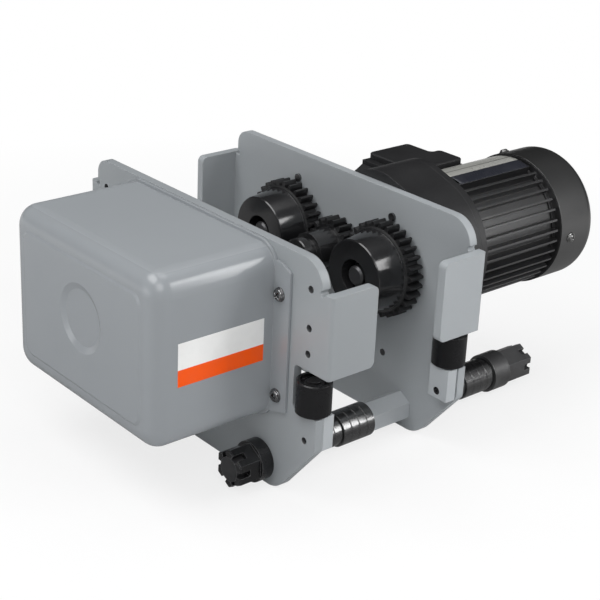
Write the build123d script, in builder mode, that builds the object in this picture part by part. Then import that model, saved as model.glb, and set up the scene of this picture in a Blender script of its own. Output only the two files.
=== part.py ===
# Motorised trolley that runs on the lower flange of an I-beam and carries a chain hoist.
# X runs along the beam, Y across it (the motor is on the +Y side), Z points up.
# The origin is midway between the four wheels, at the height of the wheel axles.
import os
from math import acos, atan2, cos, degrees, hypot, pi, radians, sin, sqrt, tan

from build123d import *

# Side plates: two bent steel plates, one on each side of the beam
plate_gap = 170.0
plate_thickness = 9.0
plate_end = 172.0
plate_top = 76.0
plate_bottom = -164.0
front_corner_radius = 26.0
rear_corner_radius = 15.0
tab_face = 185.0
tab_fold_outer_radius = 3.5
tab_fold_inner_radius = 2.0
tab_reach = 53.0
tab_top = 49.5
tab_bottom = -28.5
tab_corner_radius = 6.0
relief_radius = 3.0
chamfer_top = -104.0
chamfer_foot = 122.0
chamfer_corner_radius = 10.0
bottom_corner_radius = 28.0
notch_corner_radius = 5.0

# Guide rollers at the four corners, on upright pins
roller_x = 157.5
roller_radius = 16.4
roller_height = 32.0
roller_inset = 9.0
roller_notch_clearance = 1.5
roller_pin_radius = 6.0
roller_hub_radius = 10.0
roller_hub_height = 1.0
roller_recess_radius = 13.0
roller_recess_depth = 4.0
roller_clip_radius = 8.6
roller_clip_thickness = 1.2
roller_pin_top_margin = 0.8
block_top = -72.0
block_height = 33.0
block_length = 24.0
block_setback = 1.0
block_depth = 13.0
block_chamfer = 1.2
set_screw_radius = 4.0
set_screw_height = 7.7
set_screw_sink = 0.5
socket_across_corners = 4.6
socket_depth = 2.2
peg_hole_radius = 3.0

# Wheels, their bearings and axles
wheel_base = 144.0
wheel_module = 3.0
wheel_teeth = 30
pinion_teeth = 18
wheel_pressure_angle = 20.0
wheel_backlash = 0.14
rim_gap = 3.0
rim_width = 16.0
rim_shoulder_radius = 43.0
rim_shoulder_length = 2.0
tread_back_radius = 40.0
tread_front_radius = 36.5
tread_width = 28.5
tread_edge = 1.0
flange_radius = 47.0
flange_edge = 2.0
wheel_lip_radius = 17.0
wheel_lip_depth = 17.5
bearing_radius = 21.0
bearing_width = 13.5
bearing_spacing = 14.5
axle_radius = 10.0
axle_collar_radius = 14.0
axle_end_chamfer = 2.0
axle_end_setback = 1.5
axle_clip_radius = 13.5
axle_clip_thickness = 1.5

# Running fit of every shaft in its bearing, on the radius
running_clearance = 0.05

# Cross shafts under the beam, with spacer washers and castle nuts
shaft_x = 98.0
shaft_z = -142.0
shaft_radius = 12.0
shaft_fit = 0.1
washer_radius = 15.2
wide_washer_radius = 17.2
washer_pitch = 10.1
washer_slack = 0.15
washer_edge = 0.5
inner_washer_count = 12
outer_washer_count = 11
wide_washer_count = 4
boss_across_corners = 32.0
nut_base_radius = 20.0
nut_across_corners = 38.5
nut_crown_edge = 1.2
nut_slot_width = 6.5
near_nut_base = 13.0
near_nut_height = 37.0
near_slot_depth = 12.0
far_nut_base = 22.0
far_nut_height = 58.0
far_slot_depth = 10.0

# Motor, on an axis parallel to the wheel axles
motor_x = 60.0
motor_z = 7.0
motor_length = 109.0
motor_core_radius = 58.0
motor_bore_radius = 52.0
fin_setback = 2.0
fin_thickness = 2.2
fin_count = 38
fin_turn = 6.5
stator_inner_radius = 33.0
stator_setback = 20.0
stator_length = 70.0
winding_inner_radius = 36.0
winding_outer_radius = 50.0
winding_length = 13.0
air_gap = 0.6
rotor_shaft_radius = 7.5
rotor_nose_radius = 4.5
rotor_tail_length = 2.0
motor_bearing_radius = 17.5
motor_bearing_width = 7.0
shield_disc_radius = 60.0
shield_rim_setback = 4.0
shield_rim_length = 8.0
shield_length = 14.0
shield_bearing_setback = 2.0
cowl_radius = 69.0
cowl_wall = 1.5
cowl_length = 53.0
cowl_round = 11.0
cowl_slot_count = 10
cowl_slot_radius = 38.0
cowl_slot_length = 26.0
cowl_slot_width = 5.0
cowl_screw_count = 3
cowl_screw_setback = 15.0
cowl_screw_head_radius = 4.5
cowl_screw_head_height = 3.0
cowl_screw_radius = 2.5
cowl_screw_length = 8.0
cowl_screw_turn = -3.0
lug_width = 16.0
lug_depth = 8.0
lug_length = 29.0
fan_setback = 20.0
fan_disc_radius = 52.0
fan_disc_thickness = 2.5
fan_hub_radius = 14.0
fan_length = 18.0
fan_blade_count = 7
fan_blade_tip = 48.0
fan_blade_thickness = 3.0

# Gear case between the far plate and the motor
case_depth = 56.0
case_wall = 6.0
case_floor = 10.0
case_cover = 8.0
case_motor_radius = 71.0
case_shoulder_x = 38.5
case_shoulder_z = 35.0
case_shoulder_radius = 51.0
case_output_radius = 48.0
wing_front_top = 47.0
wing_middle_setback = 20.0
wing_middle_top = 50.5
wing_back_top = 60.0
case_ear_radius = 13.0
case_screw_height = 50.0
case_screw_spacing = 140.0
case_screw_radius = 2.5
case_screw_head_radius = 4.2
case_screw_head_height = 2.2
case_screw_grip = 8.0
hidden_screw_points = ((30.0, -46.0), (-28.0, -34.0))
countersink_height = 2.5
spare_hole_x = 69.0
spare_hole_z = -95.0
spare_hole_radius = 3.5

# Gear train inside the case
first_module = 1.25
motor_pinion_teeth = 12
first_gear_teeth = 44
second_module = 2.0
second_pinion_teeth = 12
output_gear_teeth = 36
case_pressure_angle = 25.0
case_backlash = 0.1
first_gear_gap = 2.0
first_gear_width = 12.0
second_gear_gap = 6.0
output_shaft_radius = 12.0
output_bearing_radius = 21.0
output_tail_bearing_radius = 16.0
output_collar_radius = 14.0
middle_shaft_radius = 7.0
middle_bearing_radius = 11.0
small_bearing_width = 7.0
drive_pinion_width = 16.5
drive_pinion_gap = 2.0
pinion_hub_radius = 20.0
pinion_hub_front = 40.0
pinion_neck_radius = 14.0
pinion_neck_front = 34.0
pinion_cap_radius = 17.0
pinion_cap_front = 25.0
cap_stud_radius = 5.0
cap_stud_length = 20.0

# Terminal box on the motor, with its flat lid
terminal_left = -45.0
terminal_step = -10.0
terminal_length = 57.0
terminal_step_length = 13.0
terminal_bottom = 30.0
terminal_top = 64.5
lid_height = 6.5
lid_clearance = 0.84
lid_edge = 1.0
terminal_corner = 5.0
saddle_clearance = 0.05

# Control box on the near plate
box_front = 112.0
box_rear = -118.0
box_top = 72.0
box_bottom = -94.0
box_depth = 130.0
box_wall = 1.5
box_corner_radius = 22.0
box_rim_radius = 18.0
box_panel_margin = 20.0
box_panel_raise = 1.5
box_panel_taper = 60.0
box_panel_corner = 12.0
box_panel_edge = 1.0
box_dish_z = -3.0
box_dish_radius = 33.0
box_dish_depth = 2.5
box_dish_slope = 6.0
flange_reach = 21.0
flange_shoulder_reach = 10.0
flange_drop = 11.0
flange_slant = 6.0
flange_rise = 14.0
flange_thickness = 3.0
lip_height = 3.0
cover_screw_reach = 8.0
cover_screw_heights = (31.5, -67.0)
cover_screw_radius = 3.0
cover_screw_head_radius = 6.0
cover_screw_head_height = 4.0
aux_hole_x = 157.0
aux_hole_heights = (48.5, 12.0, -12.5)
aux_hole_radius = 3.25
panel_half_length = 95.0
panel_top = 54.0
panel_bottom = -70.0
panel_thickness = 2.0
panel_standoff = 8.0
standoff_radius = 5.0
standoff_inset = 12.0
contactor_width = 45.0
contactor_height = 52.0
contactor_depth = 72.0
contactor_spacing = 52.0
contactor_x = -36.0
transformer_width = 60.0
transformer_height = 58.0
transformer_depth = 66.0
transformer_x = 52.0
rail_z = -46.0
strip_length = 120.0
strip_height = 24.0
strip_depth = 18.0
gland_radius = 11.0
gland_hex_corners = 27.0
gland_hex_length = 7.0
gland_length = 20.0
gland_bore_radius = 6.0
gland_y = -150.0
gland_heights = (20.0, -30.0)

# Places that follow from the sizes above
inner_face = plate_gap / 2
outer_face = inner_face + plate_thickness
tab_free_edge = outer_face - tab_reach
roller_y = outer_face - roller_inset
notch_edge = roller_x - roller_radius - roller_notch_clearance
roller_bottom = block_top + roller_hub_height
roller_top = roller_bottom + roller_height
block_bottom = block_top - block_height
block_inner_face = inner_face - block_depth
block_front = plate_end - block_setback
block_back = block_front - block_length
set_screw_z = block_bottom + set_screw_height
wheel_x = wheel_base / 2
rim_back = inner_face - rim_gap
rim_front = rim_back - rim_width
wheel_front = rim_front - rim_shoulder_length - tread_width
bearing_front = wheel_front + wheel_lip_depth
bearing_back = bearing_front + bearing_spacing + bearing_width
boss_front = inner_washer_count * washer_pitch - inner_face
far_nut_start = outer_face + outer_washer_count * washer_pitch
far_nut_end = far_nut_start + far_nut_height
near_nut_end = -outer_face - near_nut_height
case_end = outer_face + case_depth
wing_middle = case_end - wing_middle_setback
first_gear_start = case_end - first_gear_gap - first_gear_width
second_gear_start = outer_face + case_floor + second_gear_gap
second_gear_width = first_gear_start - second_gear_gap - second_gear_start
motor_start = case_end + case_cover
motor_end = motor_start + motor_length
fin_tip_radius = cowl_radius - fin_setback
stator_start = motor_start + stator_setback
shield_rim_start = motor_end + shield_rim_setback
shield_bearing_start = motor_end + shield_bearing_setback
cowl_end = shield_rim_start + cowl_length
cowl_screw_y = shield_rim_start + cowl_screw_setback
lug_end = shield_rim_start + lug_length
fan_start = motor_end + fan_setback
rotor_nose_end = first_gear_start - drive_pinion_gap / 2
rotor_tail_end = fan_start + fan_length + rotor_tail_length
lid_height_over_motor = terminal_top - motor_z
terminal_right = motor_x - sqrt((fin_tip_radius + lid_clearance) ** 2 - lid_height_over_motor**2)
terminal_short_end = motor_start + terminal_length
terminal_long_end = terminal_short_end + terminal_step_length
pinion_back = rim_back + drive_pinion_gap / 2
pinion_front = pinion_back - drive_pinion_width
box_face = -outer_face - box_depth
box_middle_x = (box_front + box_rear) / 2
box_middle_z = (box_top + box_bottom) / 2
box_length = box_front - box_rear
box_height = box_top - box_bottom
cover_screw_ends = (box_front + cover_screw_reach, box_rear - cover_screw_reach)
cover_screw_places = [(x, z) for x in cover_screw_ends for z in cover_screw_heights]
panel_face = -outer_face - panel_standoff - panel_thickness
case_screw_places = [(end * case_screw_spacing / 2, case_screw_height) for end in (1, -1)]
four_corners = [(x, side) for x in (-1, 1) for side in (-1, 1)]

# The middle gear shaft stands where both of its meshes close
first_distance = first_module * (motor_pinion_teeth + first_gear_teeth) / 2
second_distance = second_module * (second_pinion_teeth + output_gear_teeth) / 2
motor_distance = hypot(motor_x, motor_z)
motor_direction = degrees(atan2(motor_z, motor_x))
middle_cosine = second_distance**2 + motor_distance**2 - first_distance**2
middle_angle = degrees(acos(middle_cosine / (2 * second_distance * motor_distance)))
middle_direction = motor_direction + middle_angle
middle_x = second_distance * cos(radians(middle_direction))
middle_z = second_distance * sin(radians(middle_direction))
first_direction = degrees(atan2(motor_z - middle_z, motor_x - middle_x))

os.makedirs("parts", exist_ok=True)


def across(y, x=0.0, z=0.0):
    """Plane square to the Y axis at y, seen from the near side: local x is X and local y is Z."""
    return Plane(origin=(x, y, z), x_dir=(1, 0, 0), z_dir=(0, -1, 0))


def half_plane(x=0.0, z=0.0):
    """Plane through an axis parallel to Y at (x, z): local x is the radius and local y is Y."""
    return Plane(origin=(x, 0, z))


def y_axis(x=0.0, z=0.0):
    """Axis parallel to Y through (x, z)."""
    return Axis((x, 0, z), (0, 1, 0))


def finish(piece, name):
    """Label a finished piece and write it as its own node."""
    piece.label = name
    export_step(piece, f"parts/{name}.step")


def gear_outline(teeth, module, pressure_angle, backlash, first_tooth):
    """Points of an involute gear: root, pitch and tip on each flank, one tooth centred at first_tooth."""
    pitch = module * teeth / 2
    base = pitch * cos(radians(pressure_angle))
    tip = pitch + module
    root = pitch - 1.25 * module
    involute_at_pitch = tan(radians(pressure_angle)) - radians(pressure_angle)
    half_tooth = pi / (2 * teeth) - backlash / (2 * pitch)

    def half_angle(radius):
        roll = acos(min(1.0, base / max(radius, base)))
        return half_tooth + involute_at_pitch - (tan(roll) - roll)

    points = []
    for tooth in range(teeth):
        centre = radians(first_tooth) + 2 * pi * tooth / teeth
        flank = [(root, half_angle(root)), (pitch, half_angle(pitch)), (tip, half_angle(tip))]
        for radius, half in flank:
            points.append((radius * cos(centre - half), radius * sin(centre - half)))
        for radius, half in reversed(flank):
            points.append((radius * cos(centre + half), radius * sin(centre + half)))
    return points


def half_pitch(teeth):
    """Half the angle between two neighbouring teeth, in degrees."""
    return 180 / teeth


# Side plates: cut from plate, with a tab folded towards the beam at each end
with BuildPart() as plate_blank:
    with BuildSketch(across(-inner_face)) as flat:
        with BuildLine():
            Polyline(
                (0, plate_top),
                (plate_end, plate_top),
                (plate_end, tab_bottom),
                (notch_edge, tab_bottom),
                (notch_edge, block_top),
                (plate_end, block_top),
                (plate_end, chamfer_top),
                (chamfer_foot, plate_bottom),
                (0, plate_bottom),
                close=True,
            )
        make_face()
        fillet(flat.vertices().filter_by(lambda v: abs(v.X - chamfer_foot) < 1), bottom_corner_radius)
        fillet(flat.vertices().filter_by(lambda v: abs(v.X - notch_edge) < 1), notch_corner_radius)
        fillet(flat.vertices().filter_by(lambda v: abs(v.Y - chamfer_top) < 1), chamfer_corner_radius)
        mirror(about=Plane.YZ)
        fillet(flat.vertices().group_by(Axis.Y)[-1].sort_by(Axis.X)[-1], front_corner_radius)
        fillet(flat.vertices().group_by(Axis.Y)[-1].sort_by(Axis.X)[0], rear_corner_radius)
    extrude(amount=plate_thickness)
    with BuildSketch(Plane.XY.offset(tab_bottom)) as fold:
        with BuildLine():
            Polyline(
                (plate_end, -outer_face),
                (tab_face, -outer_face),
                (tab_face, -tab_free_edge),
                (tab_face - plate_thickness, -tab_free_edge),
                (tab_face - plate_thickness, -inner_face),
                (plate_end, -inner_face),
                close=True,
            )
        make_face()
        outer_corner = fold.vertices().group_by(Axis.Y)[0].sort_by(Axis.X)[-1]
        inner_corner = fold.vertices().filter_by(lambda v: abs(v.Y + inner_face) < 0.1).sort_by(Axis.X)[-1]
        fillet(outer_corner, tab_fold_outer_radius)
        fillet(inner_corner, tab_fold_inner_radius)
        mirror(about=Plane.YZ)
    extrude(amount=tab_top - tab_bottom)
    tab_edges = plate_blank.edges().filter_by(Axis.X)
    fillet(tab_edges.filter_by(lambda e: abs(e.center().Y + tab_free_edge) < 0.1), tab_corner_radius)
    with BuildSketch(across(-inner_face + plate_thickness)):
        with Locations((plate_end, tab_top), (-plate_end, tab_top)):
            Circle(relief_radius)
    extrude(amount=3 * plate_thickness, mode=Mode.SUBTRACT)
    with BuildSketch(across(-inner_face)):
        with Locations((shaft_x, shaft_z), (-shaft_x, shaft_z)):
            Circle(shaft_radius + shaft_fit)
        with Locations((wheel_x, 0), (-wheel_x, 0)):
            Circle(axle_radius)
    extrude(amount=plate_thickness, mode=Mode.SUBTRACT)
    with BuildSketch(Plane.XY.offset(block_top)):
        with Locations((roller_x, -roller_y), (-roller_x, -roller_y)):
            Circle(roller_pin_radius)
    extrude(amount=-block_height, mode=Mode.SUBTRACT)

with BuildPart() as side_plate_near:
    add(plate_blank.part)
    with BuildSketch(across(-inner_face)):
        with Locations(*[(s * aux_hole_x, z) for s in (-1, 1) for z in aux_hole_heights]):
            Circle(aux_hole_radius)
        with Locations(*cover_screw_places):
            Circle(cover_screw_radius)
        with Locations((roller_x, set_screw_z), (-roller_x, set_screw_z)):
            Circle(peg_hole_radius)
    extrude(amount=plate_thickness, mode=Mode.SUBTRACT)
finish(side_plate_near.part, "side_plate_near")

with BuildPart() as side_plate_far:
    add(plate_blank.part.mirror(Plane.XZ))
    with BuildSketch(across(inner_face)):
        Circle(output_bearing_radius + rim_gap)
        with Locations(*case_screw_places):
            Circle(case_screw_radius)
        with Locations((spare_hole_x, spare_hole_z)):
            Circle(spare_hole_radius)
        with Locations((roller_x, set_screw_z), (-roller_x, set_screw_z)):
            Circle(peg_hole_radius)
    extrude(amount=-plate_thickness, mode=Mode.SUBTRACT)
    for screw_x, screw_z in hidden_screw_points:
        with BuildSketch(half_plane(screw_x, screw_z)):
            with BuildLine():
                Polyline(
                    (0, inner_face),
                    (case_screw_radius + countersink_height, inner_face),
                    (case_screw_radius, inner_face + countersink_height),
                    (case_screw_radius, outer_face),
                    (0, outer_face),
                    close=True,
                )
            make_face()
        revolve(axis=y_axis(screw_x, screw_z), mode=Mode.SUBTRACT)
finish(side_plate_far.part, "side_plate_far")

# Roller blocks: welded inside each plate, each holding a roller pin with a set screw
with BuildPart() as roller_blocks:
    for end, side in four_corners:
        with BuildSketch(Plane.XY.offset(block_top)):
            with BuildLine():
                Polyline(
                    (end * block_back, side * block_inner_face),
                    (end * block_front, side * block_inner_face),
                    (end * block_front, side * (inner_face - block_chamfer)),
                    (end * (block_front - block_chamfer), side * inner_face),
                    (end * (block_back + block_chamfer), side * inner_face),
                    (end * block_back, side * (inner_face - block_chamfer)),
                    close=True,
                )
            make_face()
            with Locations((end * roller_x, side * roller_y)):
                Circle(roller_pin_radius, mode=Mode.SUBTRACT)
        extrude(amount=-block_height)
        with BuildSketch(across(side * block_inner_face, end * roller_x, set_screw_z)):
            Circle(set_screw_radius)
        extrude(amount=-side * (roller_y - block_inner_face), mode=Mode.SUBTRACT)
finish(roller_blocks.part, "roller_blocks")

with BuildPart() as roller_pins:
    for end, side in four_corners:
        with BuildSketch(Plane.XY.offset(block_bottom)):
            with Locations((end * roller_x, side * roller_y)):
                Circle(roller_pin_radius)
        extrude(amount=roller_top - roller_pin_top_margin - block_bottom)
finish(roller_pins.part, "roller_pins")

with BuildPart() as roller_clips:
    for end, side in four_corners:
        with BuildSketch(Plane.XY.offset(roller_top - roller_recess_depth)):
            with Locations((end * roller_x, side * roller_y)):
                Circle(roller_clip_radius)
                Circle(roller_pin_radius, mode=Mode.SUBTRACT)
        extrude(amount=roller_clip_thickness)
finish(roller_clips.part, "roller_clips")

with BuildPart() as block_set_screws:
    for end, side in four_corners:
        with BuildSketch(across(side * (block_inner_face + set_screw_sink), end * roller_x, set_screw_z)):
            Circle(set_screw_radius)
        extrude(amount=-side * (roller_y - roller_pin_radius - block_inner_face - set_screw_sink))
        with BuildSketch(across(side * (block_inner_face + set_screw_sink), end * roller_x, set_screw_z)):
            RegularPolygon(socket_across_corners / 2, 6)
        extrude(amount=-side * socket_depth, mode=Mode.SUBTRACT)
finish(block_set_screws.part, "block_set_screws")

corner_names = {(-1, -1): "rear_near", (-1, 1): "rear_far", (1, -1): "front_near", (1, 1): "front_far"}
for end, side in four_corners:
    with BuildPart() as guide_roller:
        with BuildSketch(across(side * roller_y, end * roller_x)):
            with BuildLine():
                Polyline(
                    (roller_pin_radius + running_clearance, block_top),
                    (roller_hub_radius, block_top),
                    (roller_hub_radius, roller_bottom),
                    (roller_radius - tread_edge, roller_bottom),
                    (roller_radius, roller_bottom + tread_edge),
                    (roller_radius, roller_top - tread_edge),
                    (roller_radius - tread_edge, roller_top),
                    (roller_recess_radius, roller_top),
                    (roller_recess_radius, roller_top - roller_recess_depth),
                    (roller_pin_radius + running_clearance, roller_top - roller_recess_depth),
                    close=True,
                )
            make_face()
        revolve(axis=Axis((end * roller_x, side * roller_y, 0), (0, 0, 1)))
    finish(guide_roller.part, f"guide_roller_{corner_names[end, side]}")

# Wheels: conical tread against a rim, toothed on the motor side and a plain flange on the other
for end, side in four_corners:
    x = end * wheel_x
    with BuildPart() as rail_wheel:
        with BuildSketch(half_plane(x)):
            with BuildLine():
                Polyline(
                    (wheel_lip_radius, side * wheel_front),
                    (tread_front_radius - tread_edge, side * wheel_front),
                    (tread_front_radius, side * (wheel_front + tread_edge)),
                    (tread_back_radius, side * (rim_front - rim_shoulder_length)),
                    (rim_shoulder_radius, side * rim_front),
                    (wheel_lip_radius, side * rim_front),
                    close=True,
                )
            make_face()
        revolve(axis=y_axis(x))
        with BuildSketch(across(side * rim_front, x)):
            if side > 0:
                first_tooth = half_pitch(wheel_teeth)
                with BuildLine():
                    Polyline(
                        *gear_outline(
                            wheel_teeth, wheel_module, wheel_pressure_angle, wheel_backlash, first_tooth
                        ),
                        close=True,
                    )
                make_face()
            else:
                Circle(flange_radius)
        extrude(amount=-side * rim_width)
        if side < 0:
            flange_rims = rail_wheel.edges().filter_by(GeomType.CIRCLE)
            chamfer(flange_rims.filter_by(lambda e: e.radius > flange_radius - 0.1), flange_edge)
        with BuildSketch(across(side * bearing_front, x)):
            Circle(bearing_radius)
        extrude(amount=-side * (rim_back - bearing_front), mode=Mode.SUBTRACT)
    finish(rail_wheel.part, f"wheel_{corner_names[end, side]}")

    with BuildPart() as wheel_bearing:
        for start in (bearing_front, bearing_front + bearing_spacing):
            with BuildSketch(across(side * start, x)):
                Circle(bearing_radius)
                Circle(axle_radius + running_clearance, mode=Mode.SUBTRACT)
            extrude(amount=-side * bearing_width)
    finish(wheel_bearing.part, f"wheel_bearing_{corner_names[end, side]}")

# Axles: riveted flush into the plates, with a collar behind the bearings and a clip in front
with BuildPart() as wheel_axles:
    for end, side in four_corners:
        with BuildSketch(half_plane(end * wheel_x)):
            with BuildLine():
                Polyline(
                    (0, side * (wheel_front + axle_end_setback)),
                    (axle_radius - axle_end_chamfer, side * (wheel_front + axle_end_setback)),
                    (axle_radius, side * (wheel_front + axle_end_setback + axle_end_chamfer)),
                    (axle_radius, side * bearing_back),
                    (axle_collar_radius, side * bearing_back),
                    (axle_collar_radius, side * inner_face),
                    (axle_radius, side * inner_face),
                    (axle_radius, side * outer_face),
                    (0, side * outer_face),
                    close=True,
                )
            make_face()
        revolve(axis=y_axis(end * wheel_x))
finish(wheel_axles.part, "wheel_axles")

with BuildPart() as axle_clips:
    for end, side in four_corners:
        with BuildSketch(across(side * bearing_front, end * wheel_x)):
            Circle(axle_clip_radius)
            Circle(axle_radius, mode=Mode.SUBTRACT)
        extrude(amount=side * axle_clip_thickness)
finish(axle_clips.part, "axle_clips")

# Cross shafts: two bars that carry the hoist and set the width between the plates
for end, name in ((1, "front"), (-1, "rear")):
    with BuildPart() as cross_shaft:
        with BuildSketch(across(near_nut_end, end * shaft_x, shaft_z)):
            Circle(shaft_radius)
        extrude(amount=near_nut_end - far_nut_end)
    finish(cross_shaft.part, f"cross_shaft_{name}")

    with BuildPart() as washers:
        for start, count in ((-inner_face, inner_washer_count), (outer_face, outer_washer_count)):
            for n in range(count):
                rim_radius = wide_washer_radius if n >= count - wide_washer_count else washer_radius
                near_side = start + n * washer_pitch + washer_slack / 2
                far_side = start + (n + 1) * washer_pitch - washer_slack / 2
                with BuildSketch(half_plane(end * shaft_x, shaft_z)):
                    with BuildLine():
                        Polyline(
                            (shaft_radius + shaft_fit, near_side),
                            (rim_radius - washer_edge, near_side),
                            (rim_radius, near_side + washer_edge),
                            (rim_radius, far_side - washer_edge),
                            (rim_radius - washer_edge, far_side),
                            (shaft_radius + shaft_fit, far_side),
                            close=True,
                        )
                    make_face()
                revolve(axis=y_axis(end * shaft_x, shaft_z))
    finish(washers.part, f"washers_{name}")

shaft_places = [(shaft_x, shaft_z), (-shaft_x, shaft_z)]

with BuildPart() as shaft_bosses:
    with BuildSketch(across(boss_front)):
        with Locations(*shaft_places):
            RegularPolygon(boss_across_corners / 2, 6, rotation=30)
            Circle(shaft_radius + shaft_fit, mode=Mode.SUBTRACT)
    extrude(amount=boss_front - inner_face)
finish(shaft_bosses.part, "shaft_bosses")

# Castle nuts: hexagon on a round base, with a slot across each pair of flats in the crown
nut_kinds = (
    ("castle_nuts_near", -outer_face, -1, near_nut_base, near_nut_height, near_slot_depth),
    ("castle_nuts_far", far_nut_start, 1, far_nut_base, far_nut_height, far_slot_depth),
)
for name, start, side, base, height, slot_depth in nut_kinds:
    with BuildPart() as castle_nuts:
        with BuildSketch(across(start)):
            with Locations(*shaft_places):
                Circle(nut_base_radius)
                Circle(shaft_radius, mode=Mode.SUBTRACT)
        extrude(amount=-side * base)
        with BuildSketch(across(start + side * base)):
            with Locations(*shaft_places):
                RegularPolygon(nut_across_corners / 2, 6, rotation=30)
                Circle(shaft_radius, mode=Mode.SUBTRACT)
        extrude(amount=-side * (height - base))
        crown_faces = castle_nuts.faces().group_by(Axis.Y)[-1 if side > 0 else 0]
        chamfer(crown_faces.edges().filter_by(GeomType.LINE), nut_crown_edge)
        with BuildSketch(across(start + side * (height - slot_depth))):
            with Locations(*shaft_places):
                with PolarLocations(0, 3):
                    Rectangle(2 * nut_base_radius, nut_slot_width)
        extrude(amount=-side * slot_depth, mode=Mode.SUBTRACT)
    finish(castle_nuts.part, name)


def case_outline():
    """Outline of the gear case around the motor, the output shaft and the shoulder."""
    with Locations((motor_x, motor_z)):
        Circle(case_motor_radius)
    with Locations((case_shoulder_x, case_shoulder_z)):
        Circle(case_shoulder_radius)
    Circle(case_output_radius)
    make_hull()


# Gear case: cast housing on the far plate, with a wing to the terminal box and an ear to its rear screw
with BuildPart() as gear_case:
    with BuildSketch(across(outer_face)):
        case_outline()
    extrude(amount=-case_depth)
    with BuildSketch(across(outer_face)):
        with Locations(case_screw_places[1]):
            Circle(case_ear_radius)
        Circle(case_output_radius)
        make_hull()
    extrude(amount=-case_floor)
    wing_side = Plane(origin=(terminal_left, 0, 0), x_dir=(0, 1, 0), z_dir=(1, 0, 0))
    with BuildSketch(wing_side):
        with BuildLine():
            Polyline(
                (case_end, wing_back_top),
                (case_end, terminal_bottom),
                (outer_face + case_floor, terminal_bottom),
                (outer_face + case_floor, wing_front_top),
            )
            ThreePointArc(
                (outer_face + case_floor, wing_front_top),
                (wing_middle, wing_middle_top),
                (case_end, wing_back_top),
            )
        make_face()
    extrude(amount=case_shoulder_x - terminal_left)
    with BuildSketch(across(outer_face + case_floor)):
        with Locations((motor_x, motor_z)):
            Circle(case_motor_radius - case_wall)
        with Locations((middle_x, middle_z)):
            Circle(first_module * (first_gear_teeth / 2 + 1) + case_wall)
        Circle(case_output_radius - case_wall)
        make_hull()
    extrude(amount=case_floor - case_depth, mode=Mode.SUBTRACT)
    with BuildSketch(across(outer_face)):
        Circle(output_bearing_radius)
    extrude(amount=-case_floor, mode=Mode.SUBTRACT)
    with BuildSketch(across(outer_face + case_floor, middle_x, middle_z)):
        Circle(middle_bearing_radius)
    extrude(amount=small_bearing_width, mode=Mode.SUBTRACT)
    with BuildSketch(across(outer_face)):
        with Locations(*case_screw_places, *hidden_screw_points):
            Circle(case_screw_radius)
    extrude(amount=-case_screw_grip, mode=Mode.SUBTRACT)
finish(gear_case.part, "gear_case")

with BuildPart() as gear_case_cover:
    with BuildSketch(across(case_end)):
        case_outline()
        with BuildLine():
            Polyline(
                (case_shoulder_x, terminal_bottom),
                (terminal_left, terminal_bottom),
                (terminal_left, terminal_top),
                (case_shoulder_x, terminal_top),
                close=True,
            )
        make_face()
    extrude(amount=-case_cover)
    with BuildSketch(across(case_end)):
        Circle(output_tail_bearing_radius)
        with Locations((middle_x, middle_z)):
            Circle(middle_bearing_radius)
        with Locations((motor_x, motor_z)):
            Circle(motor_bearing_radius - cowl_wall)
    extrude(amount=-small_bearing_width, mode=Mode.SUBTRACT)
    with BuildSketch(across(motor_start, motor_x, motor_z)):
        Circle(motor_bearing_radius)
    extrude(amount=motor_bearing_width, mode=Mode.SUBTRACT)
finish(gear_case_cover.part, "gear_case_cover")

with BuildPart() as gear_case_screws:
    with BuildSketch(across(inner_face)):
        with Locations(*case_screw_places):
            Circle(case_screw_head_radius)
    extrude(amount=case_screw_head_height)
    with BuildSketch(across(inner_face)):
        with Locations(*case_screw_places):
            Circle(case_screw_radius)
    extrude(amount=-plate_thickness - case_screw_grip)
    for screw_x, screw_z in hidden_screw_points:
        with BuildSketch(half_plane(screw_x, screw_z)):
            with BuildLine():
                Polyline(
                    (0, inner_face),
                    (case_screw_radius + countersink_height, inner_face),
                    (case_screw_radius, inner_face + countersink_height),
                    (case_screw_radius, outer_face + case_screw_grip),
                    (0, outer_face + case_screw_grip),
                    close=True,
                )
            make_face()
        revolve(axis=y_axis(screw_x, screw_z))
finish(gear_case_screws.part, "gear_case_screws")

# Bearings of the output and middle shafts
case_bearings = (
    (outer_face, 0.0, 0.0, output_bearing_radius, output_shaft_radius, case_floor),
    (case_end, 0.0, 0.0, output_tail_bearing_radius, output_shaft_radius, small_bearing_width),
    (
        outer_face + case_floor - small_bearing_width,
        middle_x,
        middle_z,
        middle_bearing_radius,
        middle_shaft_radius,
        small_bearing_width,
    ),
    (case_end, middle_x, middle_z, middle_bearing_radius, middle_shaft_radius, small_bearing_width),
)
with BuildPart() as gear_case_bearings:
    for start, x, z, ring_radius, bore_radius, width in case_bearings:
        with BuildSketch(across(start, x, z)):
            Circle(ring_radius)
            Circle(bore_radius + running_clearance, mode=Mode.SUBTRACT)
        extrude(amount=-width)
finish(gear_case_bearings.part, "gear_case_bearings")

# Output shaft, with the large gear inside the case and the drive pinion between the wheels
with BuildPart() as output_shaft:
    with BuildSketch(across(pinion_neck_front)):
        Circle(output_shaft_radius)
    extrude(amount=pinion_neck_front - case_end - small_bearing_width)
    with BuildSketch(across(pinion_back)):
        Circle(output_collar_radius)
    extrude(amount=pinion_back - outer_face)
    with BuildSketch(across(pinion_neck_front)):
        Circle(cap_stud_radius)
    extrude(amount=-cap_stud_length, mode=Mode.SUBTRACT)
finish(output_shaft.part, "output_shaft")

with BuildPart() as output_gear:
    with BuildSketch(across(second_gear_start)):
        with BuildLine():
            Polyline(
                *gear_outline(
                    output_gear_teeth, second_module, case_pressure_angle, case_backlash, middle_direction
                ),
                close=True,
            )
        make_face()
        Circle(output_shaft_radius, mode=Mode.SUBTRACT)
    extrude(amount=-second_gear_width)
finish(output_gear.part, "output_gear")

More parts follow.
